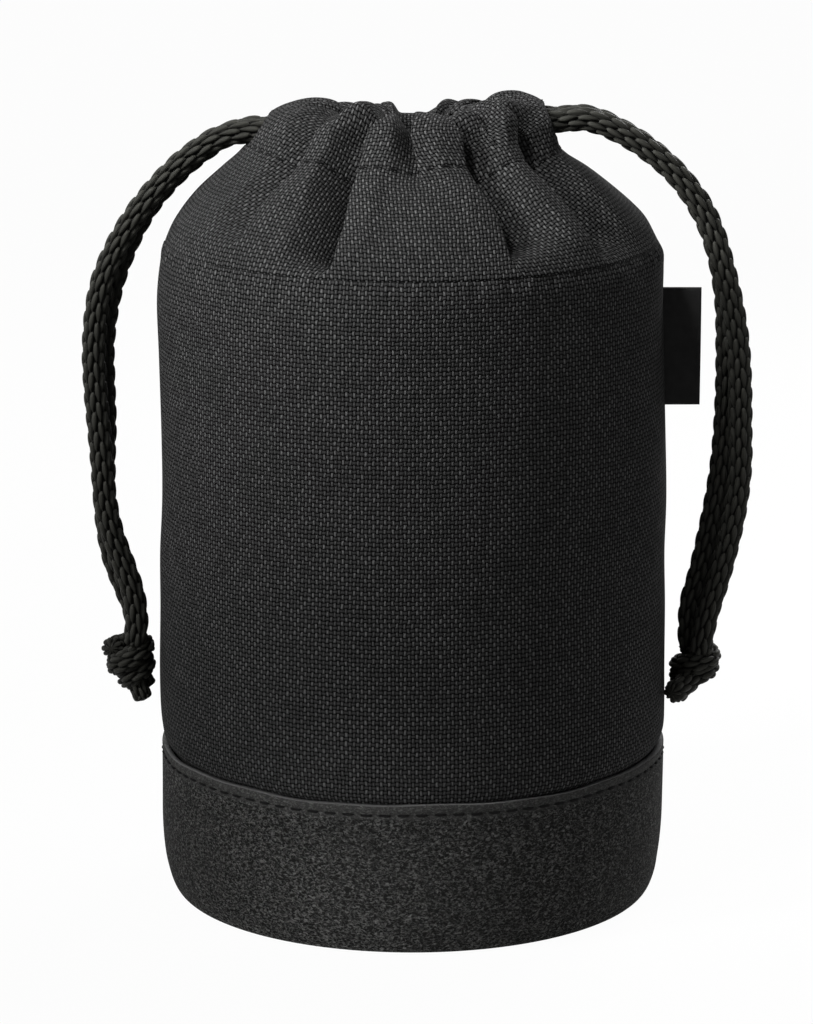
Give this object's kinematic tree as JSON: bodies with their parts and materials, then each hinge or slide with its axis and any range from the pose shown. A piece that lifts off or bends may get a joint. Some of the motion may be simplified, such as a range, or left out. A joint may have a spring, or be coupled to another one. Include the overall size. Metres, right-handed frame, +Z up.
{
  "type": "lens pouch",
  "caption": "Padded cylindrical lens pouch in black woven cloth on a moulded leathercloth base, gathered shut by braided drawcords with knotted ends, with a small plain side tab.",
  "frame": {"origin": "centre of the flat bottom of the base cup, on the pouch's axis", "axes": "+Z runs up the pouch's axis to the gathered mouth, -Y is the front seen in the picture, +X points to the side tab"},
  "size_m": [0.1195, 0.091, 0.144],
  "materials": {
    "shell_weave": "matte plain-woven synthetic, charcoal black",
    "base_leathercloth": "fine-grained satin leathercloth, black",
    "cord_braid": "round braided cord, olive black, satin yarns",
    "lining_cloth": "brushed soft lining, black",
    "padding_foam": "closed padding foam, dark grey",
    "stiffener_board": "plain stiffening board",
    "thread": "twisted sewing thread, black",
    "tab_satin": "woven satin ribbon, black, bare"
  },
  "bodies": {
    "pouch": {"base_cup": "base_leathercloth", "base_stitch": "thread", "base_stiffener": "stiffener_board", "floor_foam": "padding_foam", "body_panel": "shell_weave", "foam_sleeve": "padding_foam", "lining_floor": "lining_cloth", "lining_tube": "lining_cloth", "seam_stitch": "thread", "collar": "shell_weave", "channel_facing": "shell_weave", "channel_stitch": "thread", "left_drawcord_loop": "cord_braid", "right_drawcord_loop": "cord_braid"},
    "left_drawcord": {"left_root_front": "cord_braid", "left_root_back": "cord_braid"},
    "left_cord_end": {"left_cord_front": "cord_braid", "left_cord_back": "cord_braid", "left_knot": "cord_braid"},
    "right_drawcord": {"right_root_front": "cord_braid", "right_root_back": "cord_braid"},
    "right_cord_end": {"right_cord_front": "cord_braid", "right_cord_back": "cord_braid", "right_knot": "cord_braid"},
    "label": {"label_tab": "tab_satin"}
  },
  "joints": [
    {"name": "left_pull", "type": "slide", "parent": "pouch", "child": "left_drawcord", "axis": [-1, 0, 0], "range_m": [0, 0.006]},
    {"name": "left_lift", "type": "hinge", "parent": "left_drawcord", "child": "left_cord_end", "pos_m": [-0.0283, 0, 0.1378], "axis": [0, 1, 0], "range_deg": [0, 60]},
    {"name": "right_pull", "type": "slide", "parent": "pouch", "child": "right_drawcord", "axis": [1, 0, 0], "range_m": [0, 0.006]},
    {"name": "right_lift", "type": "hinge", "parent": "right_drawcord", "child": "right_cord_end", "pos_m": [0.0264, 0, 0.1396], "axis": [0, -1, 0], "range_deg": [0, 60]},
    {"name": "label_flip", "type": "hinge", "parent": "pouch", "child": "label", "pos_m": [0.04575, 0, 0.09905], "axis": [0, 0, 1], "range_deg": [-75, 75]}
  ]
}
